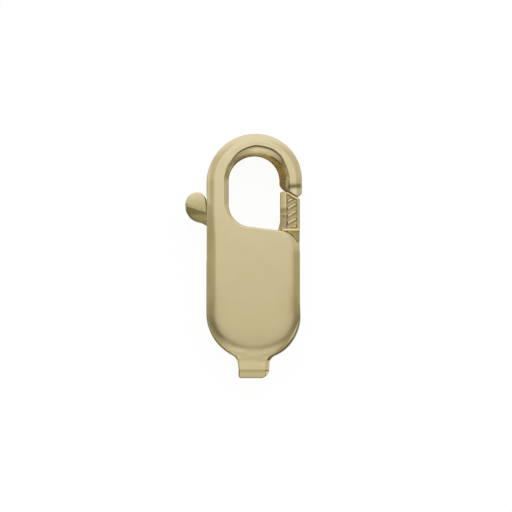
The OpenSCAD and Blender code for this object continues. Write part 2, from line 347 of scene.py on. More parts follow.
# The inner half of the hook's bar lies lower than the rest. Each row: share along the section, width
# of the ledge, its slope, width of the steep bevel at the opening, and height of the step above
LEDGE_ROWS = {
    "tip_in": [(0, 0.51, 28, 0.33, 0.0), (1, 0.51, 28, 0.32, 0.0)],
    "hook_in": [(0, 0.51, 28, 0.32, 0.0), (0.03, 0.50, 40, 0.3, 0.0), (0.055, 0.49, 46, 0.29, 0.0),
        (0.11, 0.48, 46, 0.28, 0.0), (0.167, 0.49, 34, 0.28, 0.02), (0.2, 0.505, 18, 0.27, 0.05),
        (0.24, 0.54, 6, 0.23, 0.09), (0.333, 0.56, 2, 0.17, 0.12), (0.417, 0.53, 1, 0.12, 0.13),
        (0.5, 0.526, 0, 0.08, 0.13), (0.583, 0.465, 1, 0.08, 0.12), (0.667, 0.41, 3, 0.09, 0.1),
        (0.75, 0.33, 9, 0.1, 0.05), (0.833, 0.30, 20, 0.08, 0.0), (0.917, 0.26, 22, 0.05, 0.0),
        (1, 0.26, 22, 0.03, 0.0)],
    "arm_in": [(0, 0.26, 22, 0.03, 0.0), (1, 0.24, 20, 0.03, 0.0)],
    "mouth": [(0, 0.24, 20, 0.03, 0.0), (0.5, 0.14, 12, 0.02, 0.0), (1, 0.1, 8, 0.02, 0.0)],
}
BEVEL_SLOPE = 55
BEVEL_SOFT = 0.015
LEDGE_EDGE_R = 0.02
# Inset past the bevel where its soft turn starts, and the least ledge above that
BEVEL_TURN = 0.05
LEDGE_LEAST = 0.01
# How far the back of the bar is set out from the hook's opening, by the share of the way round it
BACK_TUCKS = [
    (0, 0.045), (0.17, 0.105), (0.33, 0.145), (0.5, 0.163), (0.67, 0.145), (0.75, 0.1),
    (0.83, 0.058), (1, 0),
]
# How far the back half is drawn in on the left, from the start of a section to its end. That starts
# on the hook, from a share of the way round its outside
SIDE_TUCKS = {"arm_out": (0.055, 0.06), "left_high": (0.06, 0.035), "left": (0.035, 0)}
TUCK_FROM = 0.75
STEP_W = 0.05
EDGE_R = 0.04
RIGHT_EDGE_R = 0.12
# Shares of the way round the right of the tail where that edge comes in and goes out
RIGHT_EDGE_IN = (0.05, 0.3)
RIGHT_EDGE_OUT = (1, 0.85)
# Reach of the rings of points inside the edge, on the tail, the web, the strip and its corners
TAIL_REACH = {"tail": (0.52, 0.42), "web": (0.42, 0.35), "tab": (0.35, 0.3), "tab_bend": (0.3, 0.3),
              "loop_corner": (0.13, 0.13), "loop_end": (0.13, 0.13)}
# The round tail end by the angle from its side down to the loop: radius where the face ends on the
# left and on the right, and slope outside it
TAIL_ROWS = [
    (0, 2.0, 2.08, 22), (15, 2.02, 2.1, 22), (30, 1.97, 2.02, 20), (45, 1.86, 1.9, 15),
    (60, 1.79, 1.8, 9), (75, 1.74, 1.75, 6), (90, 1.73, 1.73, 3.3),
]
# Where the round tail end turns into the loop's strip, below the tail's centre
STRIP_FROM = 2.0
STRIP_FULL = 2.6
# Where the strip's shift to the left starts, below the tail's centre, and how far past the loop's end
# the back half's shift would end
SHIFT_FROM = 1.9
LEAN_PAST = 0.1
WAVE_DEEP = 0.0015
WAVE_L = 0.66
WAVE_Y = -2.45
WAVE_FADE = (2.05, 2.3)
LIP_CURVE = 0.11
LIP_Y = -2.5
BEND_START = 27
BEND_STOP = 44


def bent_drop(inside, width, slope, bend):
    """Drop of the rim at a distance inside the outline: round a bend, then down a slope."""
    end = radians(slope)
    radius = bend * width / sin(end)
    along = np.clip(width - np.asarray(inside, float), 0, None)
    on_bend = np.minimum(along, bend * width)
    angle = np.arcsin(np.clip(on_bend / radius, 0, 1))
    return radius * (1 - np.cos(angle)) + (along - on_bend) * tan(end)


def ledge_drop(inside, width, slope, bevel, step):
    """Drop of the ledge at a distance inside the outline, past its step."""
    along = width - inside
    tilt = tan(radians(slope))
    steep = (tan(radians(BEVEL_SLOPE)) - tilt) * softly(bevel - inside, BEVEL_SOFT)
    return step * smooth(along, 0, STEP_W) + along * tilt + steep


def edge_drop(inside, radius):
    """The quarter round at the very edge."""
    part = np.clip(1 - np.asarray(inside, float) / radius, 0, 1)
    return radius * (1 - np.sqrt(1 - part ** 2))


def crown(x, y):
    """Height of the front face, which is slightly domed."""
    return DEPTH - CROWN_ACROSS * (x / HALF_W) ** 2 - CROWN_ALONG * ((y - CROWN_Y) / CROWN_HALF_L) ** 2


def tail_drop(x, y):
    """Drop of the front at the tail: off the face, out on a lip, and round the loop's bend."""
    y = np.asarray(y, float)
    strip = smooth(-y, STRIP_FROM, STRIP_FULL)
    reach = np.hypot(x, y) * (1 - strip) - y * strip
    angle = np.degrees(np.arctan2(-y, np.abs(x)))
    angle = angle + (90 - angle) * strip
    face_left, face_right, slope = table_at(TAIL_ROWS, angle)
    on_left = np.asarray(x) < 0
    soft = np.where(on_left, BANDS["left"][2], BANDS["right"][2])
    soft = soft + (TAIL_SOFT - soft) * smooth(angle, 0, TAIL_SOFT_BY)
    along = reach - np.where(on_left, face_left, face_right)
    drop = np.tan(np.radians(slope)) * softly(along - SOFT_OUT * soft, soft)
    wave = -WAVE_DEEP * np.sin(2 * pi * (WAVE_Y - y) / WAVE_L) * smooth(-y, *WAVE_FADE)
    lip = LIP_CURVE * np.clip(LIP_Y - y, 0, None) ** 2
    past = np.clip(BEND_Y - y, 0, BEND_L)
    start, stop = radians(BEND_START), radians(BEND_STOP)
    radius = BEND_L / (sin(stop) - sin(start))
    turned = np.arcsin(sin(start) + past / radius)
    return drop + wave + lip + radius * (cos(start) - np.cos(turned))


def band_drop(inside, side, y):
    """Drop of the sloping band down one side, at a distance inside the outline."""
    face, soft, tail_soft = BANDS[side]
    soft = soft + (tail_soft - soft) * smooth(y, WIDENS_FROM, 0)
    return tan(radians(BAND_SLOPE)) * softly(HALF_W - face - inside - SOFT_OUT * soft, soft)


def tip_dip(x, y):
    """Depth of the shallow groove across the end of the hook, which rises slowly towards the tip."""
    half = np.where(np.asarray(y, float) > DIP_Y, *DIP_HALVES)
    return DIP_DEEP * bump(y, DIP_Y, half) * product(smooth, DIP_FADES, x, y)


def tail_edge(section, share, side):
    """Radius of the outer edge on the tail, larger on the right where the halves part."""
    if section != "tail" or side < 0:
        return EDGE_R
    more = smooth(share, *RIGHT_EDGE_IN) * smooth(share, *RIGHT_EDGE_OUT)
    return EDGE_R + (RIGHT_EDGE_R - EDGE_R) * more


def tuck_at(section, share):
    """How far the back half is drawn in at a place on the outline."""
    if section in ("tip_in", "hook_in"):
        return table_at(BACK_TUCKS, share if section == "hook_in" else 0)[0]
    if section == "hook_out":
        return SIDE_TUCKS["arm_out"][0] * smooth(share, TUCK_FROM, 1)
    start, stop = SIDE_TUCKS.get(section, (0, 0))
    return start + (stop - start) * share


# Rings of points across the rim and round its edge. Those of the ledge are as many in all: at the
# step, down to the bevel, on the bevel and round the edge
RIM_STEPS = 9
EDGE_STEPS = 5
LEDGE_STEPS = (4, 3, 4)
LEDGE_EDGE_STEPS = 3


def round_edge(radius, steps):
    """Insets of the rings round an edge, from where it starts to the outline."""
    return radius * (1 - np.sin(np.linspace(0, pi / 2, steps + 1)))


def rings_to_edge(width, edge):
    """Insets of the rings across a rim and round its edge."""
    return np.concatenate([np.linspace(width, edge, RIM_STEPS + 1)[:-1], round_edge(edge, EDGE_STEPS)])


def ring_places(station):
    """Insets of the rings at a station, from the flat to the edge, and the front's drop at each."""
    section, share, point, inward = station
    if section in LEDGE_ROWS:
        return ledge_places(section, share)
    if section in TAIL_REACH:
        return tail_places(section, share, point, inward)
    width, slope, bend, edge = table_at(RIM_ROWS.get(section, [PLAIN_RIM]), share)
    start, stop = BAND_SHARES.get(section, (0, 0))
    band = smooth(start + (stop - start) * share, 0, 1)
    insets = rings_to_edge(width + (BAND_REACH - width) * band, edge)
    side = "left" if point[0] < 0 else "right"
    on_rim, on_band = bent_drop(insets, width, slope, bend), band_drop(insets, side, point[1])
    return insets, on_rim * (1 - band) + on_band * band + edge_drop(insets, edge)


def ledge_places(section, share):
    """The same across the hook's ledge."""
    width, slope, bevel, step = table_at(LEDGE_ROWS[section], share)
    foot = width - STEP_W
    stops = [width, foot, min(bevel + BEVEL_TURN, foot - LEDGE_LEAST), LEDGE_EDGE_R]
    parts = [np.linspace(a, b, n + 1)[1:] for a, b, n in zip(stops, stops[1:], LEDGE_STEPS)]
    insets = np.concatenate([[width], *parts, round_edge(LEDGE_EDGE_R, LEDGE_EDGE_STEPS)[1:]])
    return insets, ledge_drop(insets, width, slope, bevel, step) + edge_drop(insets, LEDGE_EDGE_R)


def tail_places(section, share, point, inward):
    """The same on the tail."""
    near, far = TAIL_REACH[section]
    edge = tail_edge(section, share, point[0])
    insets = rings_to_edge(near + (far - near) * share, edge)
    places = point + np.outer(insets, inward)
    return insets, tail_drop(places[:, 0], places[:, 1]) + edge_drop(insets, edge)


def lean(y):
    """Share of the back half's sideways shift, from none at the hook to all of it at the loop."""
    y = np.asarray(y, float)
    whole = np.clip((HOOK_C[1] - y) / (HOOK_C[1] - BEND_Y), 0, 1) ** 3
    return whole * smooth(y, LOOP_END - LEAN_PAST, BEND_Y)


def front_shift(y):
    """How far the loop's strip sits to the left of the body's middle."""
    return FRONT_SHIFT * smooth(-np.asarray(y, float), SHIFT_FROM, STRIP_FULL)


def hook_lean(y):
    """How far the hook's bow leans to the right at a height."""
    return HOOK_LEAN * np.clip((np.asarray(y, float) - HOOK_C[1]) / HOOK_R, 0, 1)


# The sections that are the loop's strip, which has no seam
STRIP_PARTS = ("tab", "tab_bend", "loop_corner", "loop_end")
# The seam between the half shells: height above the middle and depth
SEAM_ROWS = [(0.09, 0.0), (0.06, 0.01), (0.035, 0.03), (0.012, 0.05)]
# Rings up each side wall, and how far from the middle the back's tuck and the strip's shift end
WALL_STEPS = 4
TUCK_REACH = 0.2
SHIFT_REACH = 0.17


def shell_rings(stations):
    """All rings of the shell from the front's flat round the side to the back's flat."""
    seam = [(deep, MID + height) for height, deep in SEAM_ROWS]
    seam = np.array(seam + [(deep, DEPTH - z) for deep, z in reversed(seam)])
    up_wall = np.arange(1, WALL_STEPS + 1) / (WALL_STEPS + 1)
    columns = []
    for station in stations:
        section, share, point, inward = station
        insets, drops = ring_places(station)
        strip = section in STRIP_PARTS
        x, y = (point + np.outer(insets, inward)).T
        top = crown(x, y) - drops - tip_dip(x, y)
        front_wall = top[-1] + (seam[0, 1] - top[-1]) * up_wall
        back_wall = seam[-1, 1] + (drops[-1] - seam[-1, 1]) * up_wall
        deep = seam[:, 0] * (0 if strip else 1)
        deep = np.concatenate([insets, 0 * up_wall, deep, 0 * up_wall, insets[::-1]])
        z = np.concatenate([top, front_wall, seam[:, 1], back_wall, drops[::-1]])
        column = np.column_stack([point + np.outer(deep, inward), z])
        tucked = tuck_at(section, share) * smooth(z, MID + TUCK_REACH, MID - TUCK_REACH)
        column[:, :2] += np.outer(tucked, inward)
        share_back = smooth(z, MID + SHIFT_REACH, MID - SHIFT_REACH) if strip else z < MID
        move = (BACK_SHIFT + FRONT_SHIFT) * lean(column[:, 1])
        column[:, 0] += move * share_back - front_shift(column[:, 1]) + hook_lean(column[:, 1])
        columns.append(column)
    return np.array(columns)


def make_shell():
    """Both half shells, the hook and the tail loop, with the hollow inside."""
    outer, inner = outline_chains()
    end_left, end_right = outer[-1][2], inner[-1][2]
    loop_end = [("loop_end", 0.5, end_left + (end_right - end_left) * i / ACROSS, np.array([0.0, 1.0]))
                for i in range(1, ACROSS)]
    stations = outer + loop_end + inner[:0:-1]
    columns = shell_rings(stations)
    count, height = columns.shape[:2]
    points = list(columns.reshape(-1, 3))
    faces = []
    for i in range(count):
        j = (i + 1) % count
        for k in range(height - 1):
            faces.append((i * height + k, i * height + k + 1, j * height + k + 1, j * height + k))
    last = len(outer) - 1
    pairs = [(0, 0)] + [(j, 2 * last + ACROSS - j) for j in range(1, last + 1)]
    for level in (0, height - 1):
        rows = []
        for left, right in pairs:
            a, b = left * height + level, right * height + level
            if left == 0:
                inside = [a] * (ACROSS - 1)
            elif left == last:
                inside = [(last + i) * height + level for i in range(1, ACROSS)]
            else:
                inside = range(len(points), len(points) + ACROSS - 1)
                for i in range(1, ACROSS):
                    x, y = (points[a] + (points[b] - points[a]) * i / ACROSS)[:2]
                    points.append(np.array([x, y, cap_height(x, y, level == 0)]))
            rows.append([a, *inside, b])
        for low, high in zip(rows, rows[1:]):
            for i in range(ACROSS):
                face = list(dict.fromkeys([low[i], low[i + 1], high[i + 1], high[i]]))
                if len(face) > 2:
                    faces.append(tuple(face))
    shell = mesh_object("clasp_shell", points, faces)
    combine(shell, inside_space(), "DIFFERENCE")
    combine(shell, loop_eye(), "DIFFERENCE")
    combine(shell, tip_cutter(), "DIFFERENCE")
    return shell


def tip_cutter():
    """What is cut off the bar to leave the hook's slanted end, with its rounded corner and toe."""
    right_x = HOOK_C[0] + HOOK_R
    wall_x = HOOK_C[0] + INNER_R

    def beside_cut(x, radius):
        return np.array([x, TIP[1] + (radius - (x - TIP[0]) * sin(CUT)) / cos(CUT)])

    corner_c = beside_cut(right_x - TIP_ROUND, TIP_ROUND)
    toe_c = beside_cut(wall_x + TOE_ROUND, TOE_ROUND)
    out = 0.3
    low = TIP[1] - END_DROP - out
    rounds = arc(toe_c, TOE_ROUND, 180, 270 - TIP_SLOPE, 12)
    rounds += arc(corner_c, TIP_ROUND, 270 - TIP_SLOPE, 360, 12)
    outline = [(wall_x - out, low), (wall_x - out, toe_c[1])] + rounds
    outline += [(right_x + out, corner_c[1]), (right_x + out, low)]
    return extruded("tip_cutter", outline, -1.0, DEPTH + 1.0, TIP_SKEW)


def cap_height(x, y, front):
    """Height of a flat of the shell, away from the outline."""
    shifted = x + front_shift(y) - (0 if front else (BACK_SHIFT + FRONT_SHIFT) * lean(y))
    drop = tail_drop(shifted, y) if y < TAIL_C[1] else 0.0
    return crown(x, y) - drop - tip_dip(x, y) if front else drop


# Sizes of the hollow, in millimetres
SWEEP_GAP = 0.1
STEM_R = 0.52
HUB_R = 0.75
OPEN_ANGLE = frame["joints"][0]["range_deg"][1]
LEVER_RISE = 32.5
KNOB_R = 0.69
KNOB_OUT = 0.465
INSIDE_X = HALF_W - SHEET_T
KNOB_Y = PIVOT[1] + (PIVOT[0] + HALF_W + KNOB_OUT) * tan(radians(LEVER_RISE))


def inside_space():
    """The space between the two sheets."""
    rise, open_rise = radians(LEVER_RISE), radians(LEVER_RISE - OPEN_ANGLE)

    def lever_top(x):
        return PIVOT[1] + (PIVOT[0] - x) * tan(rise) + STEM_R / cos(rise) + SWEEP_GAP

    channel_x = HOOK_C[0] - INNER_R - SHEET_T
    channel_low = lever_top(channel_x)
    over_knob = KNOB_Y + sqrt(KNOB_R ** 2 - KNOB_OUT ** 2) + SWEEP_GAP
    slot_top = max(over_knob, lever_top(-HALF_W))
    open_y = PIVOT[1] + (PIVOT[0] + INSIDE_X) * tan(open_rise)
    slot_low = open_y - STEM_R / cos(open_rise) - SWEEP_GAP
    side_low = PIVOT[1] - sqrt((HUB_R + SWEEP_GAP) ** 2 - (INSIDE_X - PIVOT[0]) ** 2)
    far = 2 * HALF_W
    outline = arc(TAIL_C, INSIDE_X, -180, 0, 48) + [
        (INSIDE_X, side_low), (far, side_low), (far, channel_low), (channel_x, channel_low),
        (channel_x, slot_top), (-far, slot_top), (-far, slot_low), (-INSIDE_X, slot_low)]
    return extruded("inside_space", outline, SHEET_T, DEPTH - SHEET_T)


def loop_eye():
    """The eye through the folded strip, along X."""
    low, high = MID - LOOP_DEPTH / 2 + STRIP_T, MID + LOOP_DEPTH / 2 - STRIP_T
    near, far = -HALF_W - ROOT_WEB, LOOP_END + STRIP_T
    corner = EYE_BEND
    outline = [(near, low), (near, high)]
    outline += arc((far + corner, high - corner), corner, 90, 180, 6)
    outline += arc((far + corner, low + corner), corner, 180, 270, 6)
    points = [(x, y, z) for x in (-HALF_W, HALF_W) for y, z in outline]
    return mesh_object("loop_eye", points, ring_faces(2, len(outline)))


# The trigger: gate, boss, lever and knob

GATE_W = 1.04
GATE_OUT = 0.015
TIP_GAP = 0.015
# The inner top corner is cut off level, this far below where the slope would end, and both corners
# of the end are rounded, the inner one first
GATE_CORNER = 0.23
GATE_CORNER_SOFT = 0.015
GATE_ROUNDS = (0.1, 0.06)
GATE_EDGE_R = 0.04
GATE_STEP = 0.02
GATE_TUCK = 0.1
GATE_LOW = 0.03
FLARE_H = 2.35
BEVEL_W = 0.24
BEVEL_DEEP = 0.2
HUB_EDGE_R = 0.05
GATE_X1 = HALF_W + GATE_OUT
GATE_X0 = GATE_X1 - GATE_W
PIN_BORE = 0.38

PANEL_EDGE = 0.12
PANEL_W = 0.6
PANEL_LOW = 4.5
PANEL_DEEP = 0.11
PANEL_SIDE = 0.045
BAR_STEP = 0.34
BAR_HIGH = 0.07
BAR_SLANT = 30
# Half widths of a bar at its foot and at its top, and the insets in the panel where the bars come in
BAR_HALVES = (0.1, 0.045)
BAR_FADE = (0.05, 0.1)
# The ridge under the panel, the slope below it, and the small nick in the bevel
RIDGE_Y = 4.42
RIDGE_HIGH = 0.03
RIDGE_HALF = 0.05
RIDGE_FADE = (0.1, 0.25)
UNDER_FROM = 0.04
UNDER_SLOPE = 0.32
UNDER_MOST = 0.2
NICK_DEEP = 0.05
NICK = [("x", 1.6, 0.05), ("y", 5.18, 0.035)]


def gate_end(x):
    """Height of the gate's sloping end, which runs beside the hook's tip."""
    return TIP[1] - TIP_GAP / cos(CUT) + (TIP[0] - x) * tan(CUT)


def gate_left(y):
    """The gate's inner face, which widens towards the boss."""
    share = np.clip((PIVOT[1] + FLARE_H - y) / FLARE_H, 0, 1)
    return GATE_X0 + (PIVOT[0] - HUB_R - GATE_X0) * share


def panel_relief(x, y):
    """How far the gate's front face lies below its border: a sunk panel with slanted bars in it."""
    right = GATE_X1 - PANEL_EDGE
    from_end = (gate_end(x) - y) * cos(CUT) - PANEL_EDGE
    beside = np.minimum(x - (right - PANEL_W), right - x)
    inside = np.minimum(beside, np.minimum(y - PANEL_LOW, from_end))
    sunk = PANEL_DEEP * smooth(inside, 0, PANEL_SIDE)
    slant = radians(BAR_SLANT)
    along = (y - x * tan(slant)) * cos(slant)
    off = np.abs((along / BAR_STEP) % 1 - 0.5) * BAR_STEP
    bar = smooth(off, *BAR_HALVES) * smooth(inside, *BAR_FADE)
    return sunk - BAR_HIGH * bar


def gate_bevel(inside):
    """Drop of the bevel along the gate's inner face."""
    return BEVEL_DEEP * np.clip(1 - inside / BEVEL_W, 0, 1)


def gate_front(x, y):
    """Height of the gate's front face above the middle of the trigger."""
    inside = x - gate_left(y)
    nick = NICK_DEEP * product(bump, NICK, x, y)
    ridge = RIDGE_HIGH * bump(y, RIDGE_Y, RIDGE_HALF) * smooth(inside, *RIDGE_FADE)
    under = np.clip((RIDGE_Y - UNDER_FROM - y) * UNDER_SLOPE, 0, UNDER_MOST)
    return TRIGGER_TOP - MID - GATE_LOW - gate_bevel(inside) - nick + ridge - under - panel_relief(x, y)


def gate_back(x, y):
    """Height of the gate's plain back face below the middle of the trigger."""
    return TRIGGER_TOP - MID - gate_bevel(x - gate_left(y))


def edge_spaced(length, edge, step):
    """Places from 0 to length, close together near both ends, as shares."""
    near = edge * np.sin(np.linspace(0, pi / 2, 6))
    count = max(2, int(round((length - 2 * edge) / step)))
    middle = np.linspace(edge, length - edge, count + 1)
    places = np.concatenate([near, middle, length - near[::-1]])
    return np.unique(np.round(places, 6)) / length


def gate_place(share_across, share_up, high):
    """A place on the gate, and its drop near an edge, from shares across and up it."""
    left = gate_left(PIVOT[1] + (high - PIVOT[1]) * share_up)
    x = left + (GATE_X1 - left) * share_across
    level = high - GATE_CORNER
    end = level - softly(level - gate_end(x), GATE_CORNER_SOFT)
    for corner, distance in zip(GATE_ROUNDS, (x - left, GATE_X1 - x)):
        part = max(0.0, 1 - distance / corner)
        end -= corner * (1 - sqrt(1 - part ** 2))
    y = PIVOT[1] + (end - PIVOT[1]) * share_up
    margin = min(x - left, GATE_X1 - x, 2 * (end - y) * cos(CUT))
    return x, y, edge_drop(max(margin, 0.0), GATE_EDGE_R)


def make_gate():
    """The gate, with its bevel, sunk panel and ridge."""
    high = gate_end(GATE_X0)
    across = edge_spaced(GATE_W, GATE_EDGE_R, GATE_STEP)
    up = edge_spaced(high - PIVOT[1], GATE_EDGE_R, GATE_STEP)
    grid = np.array([[gate_place(u, v, high) for u in across] for v in up])
    x, y, drop = grid[..., 0], grid[..., 1], grid[..., 2]
    front = MID + gate_front(x, y) - drop
    back = MID - gate_back(x, y) + drop
    tucked = x + GATE_TUCK * (1 - across)[None, :]
    points = np.concatenate([np.stack([x, y, front], axis=2).reshape(-1, 3),
                             np.stack([tucked, y, back], axis=2).reshape(-1, 3)])
    index = np.arange(x.size).reshape(x.shape)
    faces = []
    for low, above in zip(index.tolist(), index[1:].tolist()):
        for j in range(len(across) - 1):
            face = (low[j], low[j + 1], above[j + 1], above[j])
            faces.append(face)
            faces.append(tuple(x.size + k for k in reversed(face)))
    border = np.concatenate([index[0], index[1:, -1], index[-1, -2::-1], index[-2:0:-1, 0]]).tolist()
    for a, b in zip(border, border[1:] + border[:1]):
        faces.append((a, x.size + a, x.size + b, b))
    return mesh_object("gate", points, faces)


# Sections of the lever: distance from the pivot, half width, half depth, squareness, sideways offset
LEVER_ROWS = [
    (0.2, 0.33, 0.77, 8, 0.0), (3.4, 0.33, 0.77, 8, 0.0), (3.9, 0.38, 0.68, 5, -0.04),
    (4.4, 0.46, 0.56, 3, -0.11), (4.8, 0.46, 0.5, 2.5, -0.13), (5.1, 0.4, 0.42, 2, -0.08),
]
# Outline of the thumb knob round its centre: angle and radius
KNOB_ROWS = [
    (0, 0.47), (20, 0.48), (36, 0.52), (46, 0.535), (59, 0.575), (72, 0.61), (83, 0.645),
    (90, 0.66), (110, 0.67), (190, 0.7), (200, 0.72), (207, 0.735), (224, 0.77), (238, 0.82),
    (254, 0.87), (267, 0.92), (277, 0.965), (286, 1.05), (291, 1.15), (295, 1.23), (299, 1.22),
    (305, 1.1), (315, 0.92), (330, 0.74), (345, 0.64), (353, 0.56), (360, 0.47),
]
KNOB_C = np.array([-2.924, 5.78])
KNOB_DEEP = 0.66
# The dome of its front: curve, middle, and the height below which it doesn't grow further
KNOB_DOME = 0.057
KNOB_DOME_Y = 0.35
KNOB_DOME_STOP = -0.5
KNOB_EDGE = 0.08
KNOB_TAPER = 0.07
KNOB_FACET_DROP = 0.235
KNOB_FACET_TURN = 17
KNOB_FACET_SLOPE = 19
KNOB_FACET_SOFT = 0.02


def make_lever():
    """The lever, from the pivot into the knob."""
    rise = radians(LEVER_RISE)
    along = np.array([-cos(rise), sin(rise)])
    side = np.array([along[1], -along[0]])
    distances = np.linspace(LEVER_ROWS[0][0], LEVER_ROWS[-1][0], 60)
    turns = np.linspace(0, 2 * pi, 64, endpoint=False)
    c, t = np.cos(turns), np.sin(turns)
    points = []
    for s in distances:
        wide, deep, power, off = table_at(LEVER_ROWS, s)
        x = wide * np.sign(c) * np.abs(c) ** (2 / power)
        z = deep * np.sign(t) * np.abs(t) ** (2 / power)
        for dx, dz in zip(x, z):
            p = PIVOT + along * s + side * (dx + off)
            points.append((p[0], p[1], MID + dz))
    return mesh_object("lever", points, ring_faces(len(distances), len(turns)))


def past_facet(x, y):
    """Distance past the line where the knob's facet starts, from its centre."""
    turn = radians(KNOB_FACET_TURN)
    return -(x * sin(turn) + y * cos(turn)) - KNOB_FACET_DROP


def knob_top(x, y):
    """Height of the knob's slightly domed front, with the flat facet on its lower part."""
    down = softly(past_facet(x, y), KNOB_FACET_SOFT)
    dome = KNOB_DOME * (x ** 2 + (np.maximum(y, KNOB_DOME_STOP) - KNOB_DOME_Y) ** 2)
    return KNOB_DEEP - dome - down * tan(radians(KNOB_FACET_SLOPE))


def make_knob():
    """The thumb knob: a thick rounded pad drawn out downwards, a little smaller at the back."""
    angles = np.linspace(0, 360, 120, endpoint=False)
    outline = table_at(KNOB_ROWS, angles)[0]
    outline = (np.roll(outline, 1) + 2 * outline + np.roll(outline, -1)) / 4
    ways = np.column_stack([np.cos(np.radians(angles)), np.sin(np.radians(angles))])
    flats = [((outline - KNOB_EDGE) * share, 0.0) for share in np.linspace(0.04, 1, 16)]
    rounds = [(outline - KNOB_EDGE * (1 - sin(a)), KNOB_EDGE * (1 - cos(a)))
              for a in np.linspace(0, pi / 2, 8)[1:]]
    front = []
    for radius, drop in flats + rounds:
        x, y = (ways * radius[:, None]).T
        front.append(np.column_stack([x, y, knob_top(x, y) - drop]))
    back = []
    for ring in reversed(front):
        drawn_in = 1 - KNOB_TAPER / outline
        back.append(np.column_stack([ring[:, 0] * drawn_in, ring[:, 1] * drawn_in, -ring[:, 2]]))
    rings = np.array(front + back) + [KNOB_C[0], KNOB_C[1], MID]
    return mesh_object("knob", rings.reshape(-1, 3), ring_faces(len(rings), len(angles)))


def make_trigger():
    """The whole trigger as one body, bored for its pin."""
    trigger = make_gate()
    trigger.name = "clasp_trigger"
    low, high, edge = 2 * MID - TRIGGER_TOP, TRIGGER_TOP, HUB_EDGE_R
    profile = [(HUB_R - edge, low), (HUB_R, low + edge), (HUB_R, high - edge), (HUB_R - edge, high)]
    combine(trigger, lathe("boss", PIVOT, profile, 96), "UNION")
    combine(trigger, make_lever(), "UNION")
    combine(trigger, make_knob(), "UNION")
    bore = [(PIN_BORE, 0.0), (PIN_BORE, DEPTH)]
    combine(trigger, lathe("bore", PIVOT, bore, 48), "DIFFERENCE")
    return trigger


# Materials

def node(tree, kind, inputs=None, **settings):
    """Adds a node with its settings, and sets or links its inputs by name or number."""
    made = tree.nodes.new("ShaderNode" + kind)
    for key, value in settings.items():
        setattr(made, key, value)
    for key, value in (inputs or {}).items():
        if isinstance(value, bpy.types.NodeSocket):
            tree.links.new(value, made.inputs[key])
        else:
            made.inputs[key].default_value = value
    return made


def calc(tree, operation, a, b=0.0, c=0.0, clamp=False):
    """The result of a sum on sockets or numbers."""
    return node(tree, "Math", {0: a, 1: b, 2: c}, operation=operation, use_clamp=clamp).outputs[0]


def ranged(tree, value, low, high, out_low=0.0, out_high=1.0):
    """A value eased from one range into another."""
    inputs = {"Value": value, "From Min": low, "From Max": high, "To Min": out_low, "To Max": out_high}
    return node(tree, "MapRange", inputs, interpolation_type="SMOOTHSTEP").outputs[0]


def noise(tree, place, scale, detail=3.0, rough=0.5, stretch=(1, 1, 1), seed=0.0):
    """Noise with that many features per millimetre, stretched along the axes."""
    start = (seed, seed * 0.7, seed * 1.3)
    sizes = tuple(scale * k for k in stretch)
    moved = node(tree, "Mapping", {"Vector": place, "Location": start, "Scale": sizes}).outputs[0]
    inputs = {"Vector": moved, "Scale": 1.0, "Detail": detail, "Roughness": rough}
    return node(tree, "TexNoise", inputs).outputs["Fac"]


def new_material(name, metallic):
    """An empty material with a metal shader, and coordinates in millimetres."""
    made = bpy.data.materials.new(name)
    made.use_nodes = True
    tree = made.node_tree
    tree.nodes["Principled BSDF"].inputs["Metallic"].default_value = metallic
    coordinates = node(tree, "TexCoord").outputs["Object"]
    place = node(tree, "VectorMath", {0: coordinates, 3: 1 / MM}, operation="SCALE").outputs[0]
    return made, tree, place


def dress(tree, colour, rough, height, distance):
    """Gives a material's metal shader its colour, roughness and relief."""
    shader = tree.nodes["Principled BSDF"]
    relief = {"Height": height, "Strength": 1.0, "Distance": distance}
    normal = node(tree, "Bump", relief).outputs[0]
    for name, value in (("Base Color", colour), ("Roughness", rough), ("Normal", normal)):
        tree.links.new(value, shader.inputs[name])


def summed(tree, total, layers, clamp=False):
    """A start value plus each layer times its amount."""
    for layer, amount in layers:
        total = calc(tree, "ADD", total, calc(tree, "MULTIPLY", layer, amount), clamp=clamp)
    return total


def mixed(tree, share, first, second):
    """A blend of two colours."""
    return node(tree, "Mix", {0: share, 6: first, 7: second}, data_type="RGBA").outputs[2]


GOLD_PALE = (0.965, 0.828, 0.44, 1)
GOLD_WARM = (0.95, 0.805, 0.42, 1)
# The colour that the painted shade blends the gold towards
GOLD_SHADE_DARK = (0.13, 0.09, 0.035, 1)


